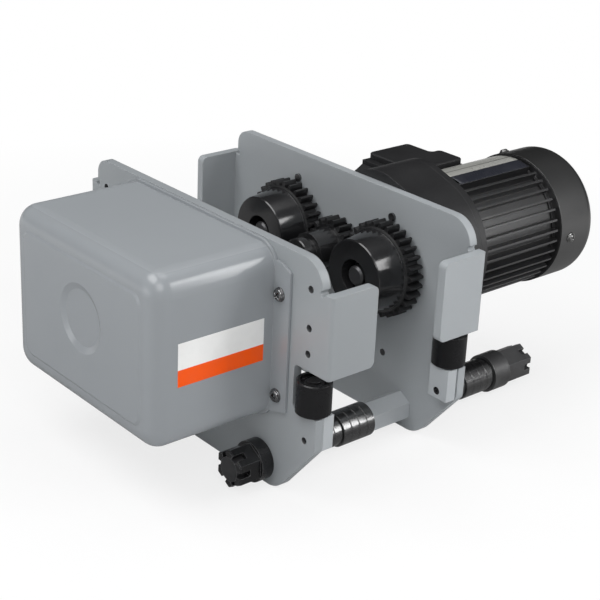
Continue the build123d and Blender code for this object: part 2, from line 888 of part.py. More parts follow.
with BuildPart() as drive_pinion:
    with BuildSketch(across(pinion_front)):
        with BuildLine():
            Polyline(
                *gear_outline(pinion_teeth, wheel_module, wheel_pressure_angle, wheel_backlash, 0.0),
                close=True,
            )
        make_face()
    extrude(amount=-drive_pinion_width)
    with BuildSketch(across(pinion_hub_front)):
        Circle(pinion_hub_radius)
    extrude(amount=pinion_hub_front - pinion_front)
    with BuildSketch(across(pinion_neck_front)):
        Circle(pinion_neck_radius)
    extrude(amount=pinion_neck_front - pinion_hub_front)
    with BuildSketch(across(pinion_neck_front)):
        Circle(output_shaft_radius)
    extrude(amount=pinion_neck_front - pinion_back, mode=Mode.SUBTRACT)
finish(drive_pinion.part, "drive_pinion")

with BuildPart() as pinion_cap:
    with BuildSketch(across(pinion_cap_front)):
        Circle(pinion_cap_radius)
    extrude(amount=pinion_cap_front - pinion_neck_front)
    chamfer(pinion_cap.edges().group_by(Axis.Y)[0], tread_edge)
    with BuildSketch(across(pinion_neck_front)):
        Circle(cap_stud_radius)
    extrude(amount=-cap_stud_length)
finish(pinion_cap.part, "pinion_cap")

# Middle shaft: small pinion cut on it, large gear pressed on it
with BuildPart() as middle_shaft:
    with BuildSketch(across(outer_face + case_floor - small_bearing_width, middle_x, middle_z)):
        Circle(middle_shaft_radius)
    extrude(amount=outer_face + case_floor - 2 * small_bearing_width - case_end)
    with BuildSketch(across(second_gear_start - drive_pinion_gap, middle_x, middle_z)):
        with BuildLine():
            Polyline(
                *gear_outline(
                    second_pinion_teeth,
                    second_module,
                    case_pressure_angle,
                    case_backlash,
                    middle_direction + half_pitch(second_pinion_teeth),
                ),
                close=True,
            )
        make_face()
    extrude(amount=-second_gear_width - 2 * drive_pinion_gap)
finish(middle_shaft.part, "middle_shaft")

with BuildPart() as middle_gear:
    with BuildSketch(across(first_gear_start, middle_x, middle_z)):
        with BuildLine():
            Polyline(
                *gear_outline(
                    first_gear_teeth, first_module, case_pressure_angle, case_backlash, first_direction
                ),
                close=True,
            )
        make_face()
        Circle(middle_shaft_radius, mode=Mode.SUBTRACT)
    extrude(amount=-first_gear_width)
finish(middle_gear.part, "middle_gear")

# Motor: rotor with its pinion and fan, stator in a finned housing
with BuildPart() as motor_pinion:
    with BuildSketch(across(first_gear_start - drive_pinion_gap / 2, motor_x, motor_z)):
        with BuildLine():
            Polyline(
                *gear_outline(
                    motor_pinion_teeth,
                    first_module,
                    case_pressure_angle,
                    case_backlash,
                    first_direction + half_pitch(motor_pinion_teeth),
                ),
                close=True,
            )
        make_face()
        Circle(rotor_nose_radius, mode=Mode.SUBTRACT)
    extrude(amount=-first_gear_width - drive_pinion_gap)
finish(motor_pinion.part, "motor_pinion")

with BuildPart() as rotor:
    with BuildSketch(half_plane(motor_x, motor_z)):
        with BuildLine():
            Polyline(
                (0, rotor_nose_end),
                (rotor_nose_radius, rotor_nose_end),
                (rotor_nose_radius, case_end),
                (rotor_shaft_radius, case_end),
                (rotor_shaft_radius, stator_start),
                (stator_inner_radius - air_gap, stator_start),
                (stator_inner_radius - air_gap, stator_start + stator_length),
                (rotor_shaft_radius, stator_start + stator_length),
                (rotor_shaft_radius, rotor_tail_end),
                (0, rotor_tail_end),
                close=True,
            )
        make_face()
    revolve(axis=y_axis(motor_x, motor_z))
finish(rotor.part, "rotor")

with BuildPart() as motor_fan:
    with BuildSketch(across(fan_start, motor_x, motor_z)):
        Circle(fan_disc_radius)
    extrude(amount=-fan_disc_thickness)
    with BuildSketch(across(fan_start, motor_x, motor_z)):
        Circle(fan_hub_radius)
        with PolarLocations(fan_blade_tip / 2 + rotor_shaft_radius / 2, fan_blade_count):
            Rectangle(fan_blade_tip - rotor_shaft_radius, fan_blade_thickness)
    extrude(amount=-fan_length)
    with BuildSketch(across(fan_start, motor_x, motor_z)):
        Circle(rotor_shaft_radius)
    extrude(amount=-fan_length, mode=Mode.SUBTRACT)
finish(motor_fan.part, "motor_fan")

with BuildPart() as motor_housing:
    with BuildSketch(across(motor_start, motor_x, motor_z)):
        Circle(motor_core_radius)
        with PolarLocations((motor_bore_radius + fin_tip_radius) / 2, fin_count, start_angle=fin_turn):
            Rectangle(fin_tip_radius - motor_bore_radius, fin_thickness)
        Circle(motor_bore_radius, mode=Mode.SUBTRACT)
    extrude(amount=-motor_length)
finish(motor_housing.part, "motor_housing")

with BuildPart() as stator_core:
    with BuildSketch(across(stator_start, motor_x, motor_z)):
        Circle(motor_bore_radius)
        Circle(stator_inner_radius, mode=Mode.SUBTRACT)
    extrude(amount=-stator_length)
finish(stator_core.part, "stator_core")

with BuildPart() as stator_windings:
    for start in (stator_start - winding_length, stator_start + stator_length):
        with BuildSketch(across(start, motor_x, motor_z)):
            Circle(winding_outer_radius)
            Circle(winding_inner_radius, mode=Mode.SUBTRACT)
        extrude(amount=-winding_length)
finish(stator_windings.part, "stator_windings")

with BuildPart() as motor_bearings:
    for start in (motor_start - motor_bearing_width, shield_bearing_start):
        with BuildSketch(across(start, motor_x, motor_z)):
            Circle(motor_bearing_radius)
            Circle(rotor_shaft_radius + running_clearance, mode=Mode.SUBTRACT)
        extrude(amount=-motor_bearing_width)
finish(motor_bearings.part, "motor_bearings")

# End shield with three lugs, and the fan cowl screwed to them
cowl_bore = cowl_radius - cowl_wall
cowl_screw_angles = [cowl_screw_turn + 360 / cowl_screw_count * n for n in range(cowl_screw_count)]
with BuildPart() as motor_end_shield:
    with BuildSketch(half_plane(motor_x, motor_z)):
        with BuildLine():
            Polyline(
                (rotor_shaft_radius + air_gap, motor_end),
                (shield_disc_radius, motor_end),
                (shield_disc_radius, shield_rim_start),
                (cowl_bore, shield_rim_start),
                (cowl_bore, shield_rim_start + shield_rim_length),
                (motor_bearing_radius + lug_depth, shield_rim_start + shield_rim_length),
                (motor_bearing_radius + lug_depth, motor_end + shield_length),
                (motor_bearing_radius, motor_end + shield_length),
                (motor_bearing_radius, shield_bearing_start),
                (rotor_shaft_radius + air_gap, shield_bearing_start),
                close=True,
            )
        make_face()
    revolve(axis=y_axis(motor_x, motor_z))
    with BuildSketch(across(shield_rim_start, motor_x, motor_z)):
        with PolarLocations(cowl_bore - lug_depth / 2 - 1, cowl_screw_count, start_angle=cowl_screw_turn):
            Rectangle(lug_depth, lug_width)
    extrude(amount=shield_rim_start - lug_end)
    for angle in cowl_screw_angles:
        screw_plane = Plane(origin=(motor_x, cowl_screw_y, motor_z), x_dir=(0, 1, 0),
                            z_dir=(cos(radians(angle)), 0, sin(radians(angle))))
        with BuildSketch(screw_plane.offset(cowl_bore - cowl_screw_length)):
            Circle(cowl_screw_radius)
        extrude(amount=cowl_screw_length, mode=Mode.SUBTRACT)
finish(motor_end_shield.part, "motor_end_shield")

with BuildPart() as fan_cowl:
    with BuildSketch(half_plane(motor_x, motor_z)):
        with BuildLine():
            outer_wall = Line((cowl_radius, shield_rim_start), (cowl_radius, cowl_end - cowl_round))
            outer_round = CenterArc((cowl_radius - cowl_round, cowl_end - cowl_round), cowl_round, 0, 90)
            outer_cap = Line(outer_round @ 1, (0, cowl_end))
            cap_step = Line(outer_cap @ 1, (0, cowl_end - cowl_wall))
            inner_round = CenterArc(
                (cowl_radius - cowl_round, cowl_end - cowl_round), cowl_round - cowl_wall, 0, 90
            )
            Line(cap_step @ 1, inner_round @ 1)
            inner_wall = Line(inner_round @ 0, (cowl_bore, shield_rim_start))
            Line(inner_wall @ 1, outer_wall @ 0)
        make_face()
    revolve(axis=y_axis(motor_x, motor_z))
    with BuildSketch(across(cowl_end, motor_x, motor_z)):
        with PolarLocations(cowl_slot_radius, cowl_slot_count):
            SlotOverall(cowl_slot_length, cowl_slot_width)
    extrude(amount=2 * cowl_wall, mode=Mode.SUBTRACT)
    for angle in cowl_screw_angles:
        screw_plane = Plane(origin=(motor_x, cowl_screw_y, motor_z), x_dir=(0, 1, 0),
                            z_dir=(cos(radians(angle)), 0, sin(radians(angle))))
        with BuildSketch(screw_plane.offset(cowl_bore - 1)):
            Circle(cowl_screw_radius)
        extrude(amount=cowl_screw_length, mode=Mode.SUBTRACT)
finish(fan_cowl.part, "fan_cowl")

with BuildPart() as cowl_screws:
    for angle in cowl_screw_angles:
        screw_plane = Plane(origin=(motor_x, cowl_screw_y, motor_z), x_dir=(0, 1, 0),
                            z_dir=(cos(radians(angle)), 0, sin(radians(angle))))
        with BuildSketch(screw_plane.offset(cowl_radius)):
            Circle(cowl_screw_head_radius)
        extrude(amount=cowl_screw_head_height)
        with BuildSketch(screw_plane.offset(cowl_radius)):
            Circle(cowl_screw_radius)
        extrude(amount=-cowl_screw_length)
finish(cowl_screws.part, "cowl_screws")

# Terminal box: saddle box on the motor behind the gear case, under a flat lid
with BuildPart() as terminal_box:
    with BuildSketch(Plane.XY.offset(terminal_bottom)):
        with BuildLine():
            Polyline(
                (terminal_left, motor_start),
                (terminal_left, terminal_short_end),
                (terminal_step, terminal_short_end),
                (terminal_step, terminal_long_end),
                (terminal_right, terminal_long_end),
                (terminal_right, motor_start),
                close=True,
            )
        make_face()
    extrude(amount=terminal_top - terminal_bottom)
    with BuildSketch(across(motor_start, motor_x, motor_z)):
        Circle(hypot(fin_tip_radius, fin_thickness / 2) + saddle_clearance)
    extrude(amount=-motor_length, mode=Mode.SUBTRACT)
finish(terminal_box.part, "terminal_box")

with BuildPart() as terminal_box_lid:
    with BuildSketch(Plane.XY.offset(terminal_top)) as lid_plan:
        with BuildLine():
            Polyline(
                (terminal_left, motor_start),
                (terminal_left, terminal_short_end),
                (terminal_step, terminal_short_end),
                (terminal_step, terminal_long_end),
                (terminal_right, terminal_long_end),
                (terminal_right, motor_start),
                close=True,
            )
        make_face()
        fillet(lid_plan.vertices(), terminal_corner)
    extrude(amount=lid_height)
    chamfer(terminal_box_lid.edges().group_by(Axis.Z)[-1], lid_edge)
finish(terminal_box_lid.part, "terminal_box_lid")


def cover_form(inset):
    """Deep-drawn form of the control box, drawn in by inset, with its raised panel and round dish."""
    with BuildPart() as form:
        with BuildSketch(across(-outer_face, box_middle_x, box_middle_z)):
            RectangleRounded(box_length - 2 * inset, box_height - 2 * inset, box_corner_radius - inset)
        extrude(amount=box_depth - inset)
        fillet(form.faces().sort_by(Axis.Y)[0].edges(), box_rim_radius - inset)
        panel_margin = box_panel_margin + inset
        with BuildSketch(across(box_face + inset, box_middle_x, box_middle_z)):
            RectangleRounded(box_length - 2 * panel_margin, box_height - 2 * panel_margin, box_panel_corner)
        extrude(amount=box_panel_raise, taper=box_panel_taper)
        dish_rim = box_face - box_panel_raise + inset
        with BuildSketch(half_plane(0, box_dish_z)):
            with BuildLine():
                Polyline(
                    (0, dish_rim),
                    (box_dish_radius + inset, dish_rim),
                    (box_dish_radius + inset - box_dish_slope, dish_rim + box_dish_depth),
                    (0, dish_rim + box_dish_depth),
                    close=True,
                )
            make_face()
        revolve(axis=y_axis(0, box_dish_z), mode=Mode.SUBTRACT)
    return form.part


# Control box: sheet cover with a lip all round and a screwed flange at each end, over the switchgear
outer_cover = cover_form(0)
inner_cover = cover_form(box_wall)
with BuildPart() as control_box_cover:
    add(outer_cover)
    fillet(control_box_cover.faces().sort_by(Axis.Y)[0].edges(), box_panel_edge)
    with BuildSketch(across(-outer_face)):
        with Locations((box_middle_x, box_middle_z)):
            RectangleRounded(
                box_length + 2 * lip_height, box_height + 2 * lip_height, box_corner_radius + lip_height
            )
        for end, wall in ((1, box_front), (-1, box_rear)):
            with BuildLine():
                Polyline(
                    (box_middle_x, box_bottom + flange_rise - flange_slant),
                    (wall, box_bottom + flange_rise - flange_slant),
                    (wall + end * flange_reach, box_bottom + flange_rise),
                    (wall + end * flange_reach, box_top - flange_drop - flange_slant),
                    (wall + end * flange_shoulder_reach, box_top - flange_drop),
                    (box_middle_x, box_top - flange_drop),
                    close=True,
                )
            make_face()
    extrude(amount=flange_thickness)
    add(inner_cover, mode=Mode.SUBTRACT)
    with BuildSketch(across(-outer_face)):
        with Locations(*cover_screw_places):
            Circle(cover_screw_radius)
    extrude(amount=flange_thickness, mode=Mode.SUBTRACT)
    with BuildSketch(Plane(origin=(box_rear, gland_y, 0), x_dir=(0, 1, 0), z_dir=(-1, 0, 0))):
        with Locations(*[(0, -z) for z in gland_heights]):
            Circle(gland_radius)
    extrude(amount=-2 * box_wall, mode=Mode.SUBTRACT)
finish(control_box_cover.part, "control_box_cover")

with BuildPart() as cover_screws:
    with BuildSketch(across(-outer_face - flange_thickness)):
        with Locations(*cover_screw_places):
            Circle(cover_screw_head_radius)
    extrude(amount=cover_screw_head_height)
    fillet(cover_screws.edges().group_by(Axis.Y)[0], cover_screw_head_height / 2)
    with BuildSketch(across(-inner_face)):
        with Locations(*cover_screw_places):
            Circle(cover_screw_radius)
    extrude(amount=plate_thickness + flange_thickness)
finish(cover_screws.part, "cover_screws")

# Cable glands in the rear wall of the control box
with BuildPart() as cable_glands:
    for z in gland_heights:
        gland_plane = Plane(origin=(box_rear, gland_y, z), x_dir=(0, 1, 0), z_dir=(-1, 0, 0))
        with BuildSketch(gland_plane.offset(-2 * box_wall)):
            Circle(gland_radius)
        extrude(amount=2 * box_wall)
        with BuildSketch(gland_plane):
            RegularPolygon(gland_hex_corners / 2, 6)
        extrude(amount=gland_hex_length)
        with BuildSketch(gland_plane.offset(gland_hex_length)):
            Circle(gland_radius)
        extrude(amount=gland_length - gland_hex_length)
        with BuildSketch(gland_plane.offset(-2 * box_wall)):
            Circle(gland_bore_radius)
        extrude(amount=2 * box_wall + gland_length, mode=Mode.SUBTRACT)
finish(cable_glands.part, "cable_glands")

with BuildPart() as control_panel:
    with BuildSketch(across(-outer_face - panel_standoff, 0, (panel_top + panel_bottom) / 2)):
        RectangleRounded(2 * panel_half_length, panel_top - panel_bottom, standoff_radius)
    extrude(amount=panel_thickness)
    with BuildSketch(across(-outer_face, 0, (panel_top + panel_bottom) / 2)):
        with GridLocations(
            2 * (panel_half_length - standoff_inset), panel_top - panel_bottom - 2 * standoff_inset, 2, 2
        ):
            Circle(standoff_radius)
    extrude(amount=panel_standoff)
finish(control_panel.part, "control_panel")

with BuildPart() as contactors:
    with BuildSketch(across(panel_face, contactor_x, 0)):
        with GridLocations(contactor_spacing, 1, 2, 1):
            Rectangle(contactor_width, contactor_height)
    extrude(amount=contactor_depth)
finish(contactors.part, "contactors")

with BuildPart() as transformer:
    with BuildSketch(across(panel_face, transformer_x, 0)):
        Rectangle(transformer_width, transformer_height)
    extrude(amount=transformer_depth)
finish(transformer.part, "transformer")

with BuildPart() as terminal_strip:
    with BuildSketch(across(panel_face, 0, rail_z)):
        Rectangle(strip_length, strip_height)
    extrude(amount=strip_depth)
finish(terminal_strip.part, "terminal_strip")
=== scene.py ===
import bpy
import numpy as np
from mathutils import Matrix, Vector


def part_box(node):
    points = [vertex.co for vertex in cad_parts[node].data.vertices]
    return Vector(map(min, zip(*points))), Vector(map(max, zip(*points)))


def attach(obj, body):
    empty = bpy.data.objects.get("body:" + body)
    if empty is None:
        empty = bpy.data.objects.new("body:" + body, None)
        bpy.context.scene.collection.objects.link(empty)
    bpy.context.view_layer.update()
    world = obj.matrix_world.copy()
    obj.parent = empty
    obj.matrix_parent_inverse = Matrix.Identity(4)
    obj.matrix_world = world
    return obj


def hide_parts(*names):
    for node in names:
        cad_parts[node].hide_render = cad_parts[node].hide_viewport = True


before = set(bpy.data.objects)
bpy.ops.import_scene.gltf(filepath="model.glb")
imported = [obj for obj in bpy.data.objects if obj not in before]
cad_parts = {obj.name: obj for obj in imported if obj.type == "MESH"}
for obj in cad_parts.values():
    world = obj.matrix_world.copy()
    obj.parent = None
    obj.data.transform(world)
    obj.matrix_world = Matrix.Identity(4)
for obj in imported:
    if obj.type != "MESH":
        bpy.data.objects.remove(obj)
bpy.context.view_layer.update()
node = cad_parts


# Side plates: two 9 mm steel plates, laser cut, drilled and folded at the ends into stop tabs.
# They are sprayed with a satin grey enamel that has a faint orange peel and slow drifts of tone.
# Roller blocks and shaft bosses are welded on and sprayed too.
# The far plate and the welded bits take lighter copies of the one enamel than the near plate: painted
# light.
# Plate edges are painted lighter as painted highlights, and the drilled holes darker inside as painted
# shade.
def add_node(tree, kind, links=(), **values):
    """One shader node: sockets named in values are set, and links join (socket, source) pairs."""
    made = tree.nodes.new(kind)
    for key, value in values.items():
        if key in made.inputs.keys():
            made.inputs[key].default_value = value
        else:
            setattr(made, key, value)
    for socket, source in links:
        tree.links.new(source, made.inputs[socket])
    return made


def ranged(tree, source, low, high, out_low=0.0, out_high=1.0):
    """A value carried from one range to another and held at both ends."""
    made = add_node(tree, "ShaderNodeMapRange", [("Value", source)])
    made.inputs["From Min"].default_value = low
    made.inputs["From Max"].default_value = high
    made.inputs["To Min"].default_value = out_low
    made.inputs["To Max"].default_value = out_high
    return made.outputs["Result"]


def mixed(tree, factor, first, second):
    """Two colours mixed by a factor; each is a socket or three numbers."""
    made = add_node(tree, "ShaderNodeMix", [("Factor", factor)], data_type="RGBA")
    for socket, colour in ((6, first), (7, second)):
        if isinstance(colour, tuple):
            made.inputs[socket].default_value = (*colour, 1)
        else:
            tree.links.new(colour, made.inputs[socket])
    return made.outputs[2]


def group_shell(name, inputs, outputs):
    """An empty shader group with (name, kind, default) inputs and (name, kind) outputs."""
    tree = bpy.data.node_groups.new(name, "ShaderNodeTree")
    for label, kind, default in inputs:
        socket = tree.interface.new_socket(label, in_out="INPUT", socket_type=kind)
        socket.default_value = default
    for label, kind in outputs:
        tree.interface.new_socket(label, in_out="OUTPUT", socket_type=kind)
    return tree, tree.nodes.new("NodeGroupInput"), tree.nodes.new("NodeGroupOutput")


def build_sprayed_skin():
    """Sprayed coat: slow noise drifts the colour and the gloss, fine noise lifts an orange peel."""
    tree, given, out = group_shell(
        "sprayed_skin",
        [
            ("Light Colour", "NodeSocketColor", (0.5, 0.5, 0.5, 1)),
            ("Dark Colour", "NodeSocketColor", (0.4, 0.4, 0.4, 1)),
            ("Drift Scale", "NodeSocketFloat", 12.0),
            ("Peel Scale", "NodeSocketFloat", 420.0),
            ("Gloss Low", "NodeSocketFloat", 0.3),
            ("Gloss High", "NodeSocketFloat", 0.45),
        ],
        [("Colour", "NodeSocketColor"), ("Roughness", "NodeSocketFloat"), ("Height", "NodeSocketFloat")],
    )
    place = add_node(tree, "ShaderNodeTexCoord").outputs["Object"]
    drift = add_node(
        tree, "ShaderNodeTexNoise", [("Vector", place), ("Scale", given.outputs["Drift Scale"])],
        Detail=4.0, Roughness=0.55,
    )
    slow = ranged(tree, drift.outputs["Fac"], 0.32, 0.68)
    tone = mixed(tree, slow, given.outputs["Dark Colour"], given.outputs["Light Colour"])
    peel = add_node(
        tree, "ShaderNodeTexNoise", [("Vector", place), ("Scale", given.outputs["Peel Scale"])],
        Detail=2.0, Roughness=0.5,
    )
    gloss = add_node(
        tree, "ShaderNodeMapRange",
        [
            ("Value", drift.outputs["Fac"]),
            ("To Min", given.outputs["Gloss Low"]),
            ("To Max", given.outputs["Gloss High"]),
        ],
    )
    tree.links.new(tone, out.inputs["Colour"])
    tree.links.new(gloss.outputs["Result"], out.inputs["Roughness"])
    tree.links.new(peel.outputs["Fac"], out.inputs["Height"])
    return tree


def build_edge_light_and_shade():
    """Mask of edges for painted highlights and painted shade: where the softened normal leaves the face's
    own normal, broken by noise.
    """
    tree, given, out = group_shell(
        "edge_light_and_shade",
        [("Softened", "NodeSocketVector", (0, 0, 1)), ("Grain", "NodeSocketFloat", 300.0)],
        [("Mask", "NodeSocketFloat")],
    )
    face = add_node(tree, "ShaderNodeNewGeometry").outputs["Normal"]
    turn = add_node(
        tree, "ShaderNodeVectorMath", [(0, given.outputs["Softened"]), (1, face)], operation="DOT_PRODUCT"
    )
    edge = ranged(tree, turn.outputs["Value"], 0.985, 0.82)
    place = add_node(tree, "ShaderNodeTexCoord").outputs["Object"]
    grain = add_node(
        tree, "ShaderNodeTexNoise", [("Vector", place), ("Scale", given.outputs["Grain"])], Detail=3.0
    )
    patchy = ranged(tree, grain.outputs["Fac"], 0.35, 0.6, 0.35, 1.0)
    broken = add_node(tree, "ShaderNodeMath", [(0, edge), (1, patchy)], operation="MULTIPLY")
    tree.links.new(broken.outputs[0], out.inputs["Mask"])
    return tree


def build_lathe_lines():
    """Turning marks: noise of one dimension along the turned axis, added to the coat's own height."""
    tree, given, out = group_shell(
        "lathe_lines",
        [
            ("Along", "NodeSocketFloat", 0.0),
            ("Lines", "NodeSocketFloat", 1500.0),
            ("Depth", "NodeSocketFloat", 0.5),
            ("Height", "NodeSocketFloat", 0.0),
        ],
        [("Height", "NodeSocketFloat")],
    )
    stretched = add_node(
        tree, "ShaderNodeMath", [(0, given.outputs["Along"]), (1, given.outputs["Lines"])],
        operation="MULTIPLY",
    )
    line = add_node(
        tree, "ShaderNodeTexNoise", [("W", stretched.outputs[0])],
        noise_dimensions="1D", Scale=1.0, Detail=2.0,
    )
    added = add_node(
        tree, "ShaderNodeMath",
        [(0, line.outputs["Fac"]), (1, given.outputs["Depth"]), (2, given.outputs["Height"])],
        operation="MULTIPLY_ADD",
    )
    tree.links.new(added.outputs[0], out.inputs["Height"])
    return tree


def build_bored_wall():
    """Mask of a round zone: one within a radius of an axis along Y, at one end of the part or both."""
    tree, given, out = group_shell(
        "bored_wall",
        [
            ("Across", "NodeSocketFloat", 0.0),
            ("Up", "NodeSocketFloat", 0.0),
            ("Radius", "NodeSocketFloat", 0.003),
            ("Both Ends", "NodeSocketFloat", 1.0),
        ],
        [("Mask", "NodeSocketFloat")],
    )
    place = add_node(tree, "ShaderNodeTexCoord").outputs["Object"]
    parts = add_node(tree, "ShaderNodeSeparateXYZ", [("Vector", place)])
    folded = add_node(tree, "ShaderNodeMath", [(0, parts.outputs["X"])], operation="ABSOLUTE")
    chosen = add_node(
        tree, "ShaderNodeMix",
        [(0, given.outputs["Both Ends"]), (2, parts.outputs["X"]), (3, folded.outputs[0])],
        data_type="FLOAT",
    )
    aside = add_node(
        tree, "ShaderNodeMath", [(0, chosen.outputs[0]), (1, given.outputs["Across"])],
        operation="SUBTRACT",
    )
    above = add_node(
        tree, "ShaderNodeMath", [(0, parts.outputs["Z"]), (1, given.outputs["Up"])], operation="SUBTRACT"
    )
    offset = add_node(tree, "ShaderNodeCombineXYZ", [("X", aside.outputs[0]), ("Y", above.outputs[0])])
    away = add_node(tree, "ShaderNodeVectorMath", [(0, offset.outputs["Vector"])], operation="LENGTH")
    inside = add_node(
        tree, "ShaderNodeMath", [(0, away.outputs["Value"]), (1, given.outputs["Radius"])],
        operation="LESS_THAN",
    )
    tree.links.new(inside.outputs[0], out.inputs["Mask"])
    return tree


sprayed_skin = build_sprayed_skin()
edge_light_and_shade = build_edge_light_and_shade()
lathe_lines = build_lathe_lines()
bored_wall = build_bored_wall()


def use_group(tree, group, links=(), **values):
    """One use of a shared group in a material, with its own values."""
    made = tree.nodes.new("ShaderNodeGroup")
    made.node_tree = group
    for key, value in values.items():
        made.inputs[key.replace("_", " ")].default_value = value
    for socket, source in links:
        tree.links.new(source, made.inputs[socket])
    return made


def coated(
    name, light, dark, drift=12.0, peel=420.0, gloss=(0.3, 0.45), lift=0.05, metal=0.0, coat=0.0,
    edge=0.0006, edge_paint=None, turned=None, lines=1500.0, depth=0.6, holes=(), shine=1.5, teeth=None,
    dust=0.0,
):
    """A sprayed, dipped or blackened finish.

    Noise drifts the tone; edges may take a painted highlight or painted shade, holes a painted shade,
    teeth are dull, tops dusty and turned faces lined.
    """
    bore_painted_shade = (0.090, 0.092, 0.095)
    tooth_black = (0.007, 0.007, 0.008)
    tooth_roughness = 0.62
    coat_roughness = 0.12
    material = bpy.data.materials.new(name)
    material.use_nodes = True
    tree = material.node_tree
    shader = tree.nodes["Principled BSDF"]
    skin = use_group(
        tree, sprayed_skin, Light_Colour=(*light, 1), Dark_Colour=(*dark, 1), Drift_Scale=drift,
        Peel_Scale=peel, Gloss_Low=gloss[0], Gloss_High=gloss[1],
    )
    colour = skin.outputs["Colour"]
    height = skin.outputs["Height"]
    softened = add_node(tree, "ShaderNodeBevel", Radius=edge, samples=6)
    # Edge colour: lighter as painted highlights, or darker as painted shade in joints.
    if edge_paint:
        edge_mask = use_group(tree, edge_light_and_shade, [("Softened", softened.outputs["Normal"])])
        colour = mixed(tree, edge_mask.outputs["Mask"], colour, edge_paint)
    # Bore walls take a dark grey: painted shade in the holes.
    for across, up, radius, both in holes:
        wall = use_group(tree, bored_wall, Across=across, Up=up, Radius=radius, Both_Ends=both)
        colour = mixed(tree, wall.outputs["Mask"], colour, bore_painted_shade)
    gloss = skin.outputs["Roughness"]
    if teeth:
        inner = use_group(tree, bored_wall, Across=teeth[0], Up=0.0, Radius=teeth[1], Both_Ends=1.0)
        colour = mixed(tree, inner.outputs["Mask"], tooth_black, colour)
        dull = ranged(tree, inner.outputs["Mask"], 0.0, 1.0, tooth_roughness, 0.0)
        rougher = add_node(tree, "ShaderNodeMath", [(0, gloss), (1, dull)], operation="MAXIMUM")
        gloss = rougher.outputs[0]
    if dust:
        upright = add_node(tree, "ShaderNodeTexCoord").outputs["Normal"]
        facing = add_node(tree, "ShaderNodeSeparateXYZ", [("Vector", upright)])
        settled = ranged(tree, facing.outputs["Z"], 0.80, 0.99, 0.0, dust)
        rougher = add_node(tree, "ShaderNodeMath", [(0, gloss), (1, settled)], operation="MAXIMUM")
        gloss = rougher.outputs[0]
    if turned:
        place = add_node(tree, "ShaderNodeTexCoord").outputs["Object"]
        parts = add_node(tree, "ShaderNodeSeparateXYZ", [("Vector", place)])
        marks = use_group(
            tree, lathe_lines, [("Along", parts.outputs[turned]), ("Height", height)],
            Lines=lines, Depth=depth,
        )
        height = marks.outputs["Height"]
    bump = add_node(
        tree, "ShaderNodeBump", [("Height", height), ("Normal", softened.outputs["Normal"])],
        Strength=lift, Distance=0.001,
    )
    tree.links.new(colour, shader.inputs["Base Color"])
    tree.links.new(gloss, shader.inputs["Roughness"])
    tree.links.new(bump.outputs["Normal"], shader.inputs["Normal"])
    shader.inputs["Metallic"].default_value = metal
    shader.inputs["IOR"].default_value = shine
    shader.inputs["Coat Weight"].default_value = coat
    shader.inputs["Coat Roughness"].default_value = coat_roughness
    return material


def dress(material, *names):
    """Give the named CAD nodes one material in every slot."""
    for name in names:
        mesh = node[name].data
        mesh.materials.clear()
        mesh.materials.append(material)


enamel_edge_highlight = (0.41, 0.43, 0.445)
peg_hole = (0.1575, -0.0973, 0.0032, 1.0)
bracket_holes = [(0.157, height, 0.0034, 1.0) for height in (0.0485, 0.012, -0.0125)]
spare_hole = (0.069, -0.095, 0.0037, 0.0)
# The near plate takes the darker copy and the far plate the lighter one: painted shade and painted light
# on one enamel. Holes are painted dark inside as painted shade.
near_enamel_shaded_copy = coated(
    "near_enamel_shaded_copy", (0.318, 0.339, 0.354), (0.301, 0.321, 0.336), drift=9.0, peel=520.0,
    gloss=(0.34, 0.44), lift=0.035, edge=0.0012, edge_paint=enamel_edge_highlight, holes=[peg_hole, *bracket_holes],
)
dress(near_enamel_shaded_copy, "side_plate_near")
far_enamel_lit_copy = coated(
    "far_enamel_lit_copy", (0.383, 0.407, 0.424), (0.363, 0.385, 0.403), drift=9.0, peel=520.0,
    gloss=(0.34, 0.44), lift=0.035, edge=0.0012, edge_paint=enamel_edge_highlight, holes=[peg_hole, spare_hole],
)
dress(far_enamel_lit_copy, "side_plate_far")
# The welded bits take a still lighter copy as painted light, with edges painted lighter still as painted
# highlights.
welded_enamel_lit_copy = coated(
    "welded_enamel_lit_copy", (0.445, 0.470, 0.490), (0.420, 0.445, 0.465), drift=14.0, peel=480.0,
    gloss=(0.32, 0.44), lift=0.05, edge=0.0010, edge_paint=(0.48, 0.50, 0.52),
)
dress(welded_enamel_lit_copy, "shaft_bosses", "roller_blocks")

# Guide rollers: turned steel sleeves on upright pins, blackened, with a clip in the top recess.
# The pins are held in the blocks by socket set screws.
corners = ("front_near", "front_far", "rear_near", "rear_far")
# Roller edges are painted lighter: painted highlights.
turned_black = coated(
    "turned_black", (0.010, 0.010, 0.011), (0.007, 0.007, 0.008), drift=40.0, peel=900.0,
    gloss=(0.22, 0.32), lift=0.03, edge=0.0006, edge_paint=(0.13, 0.13, 0.135), turned="Z", lines=2200.0,
    shine=1.4,
)
dress(turned_black, *["guide_roller_" + corner for corner in corners])
# Pin, clip and set screw edges are painted lighter: painted highlights.
blackened_spring = coated(
    "blackened_spring", (0.050, 0.050, 0.053), (0.030, 0.030, 0.032), drift=80.0, peel=1400.0,
    gloss=(0.22, 0.36), lift=0.04, metal=0.6, edge=0.0003, edge_paint=(0.30, 0.30, 0.31),
)
dress(blackened_spring, "roller_pins", "roller_clips", "axle_clips", "block_set_screws")

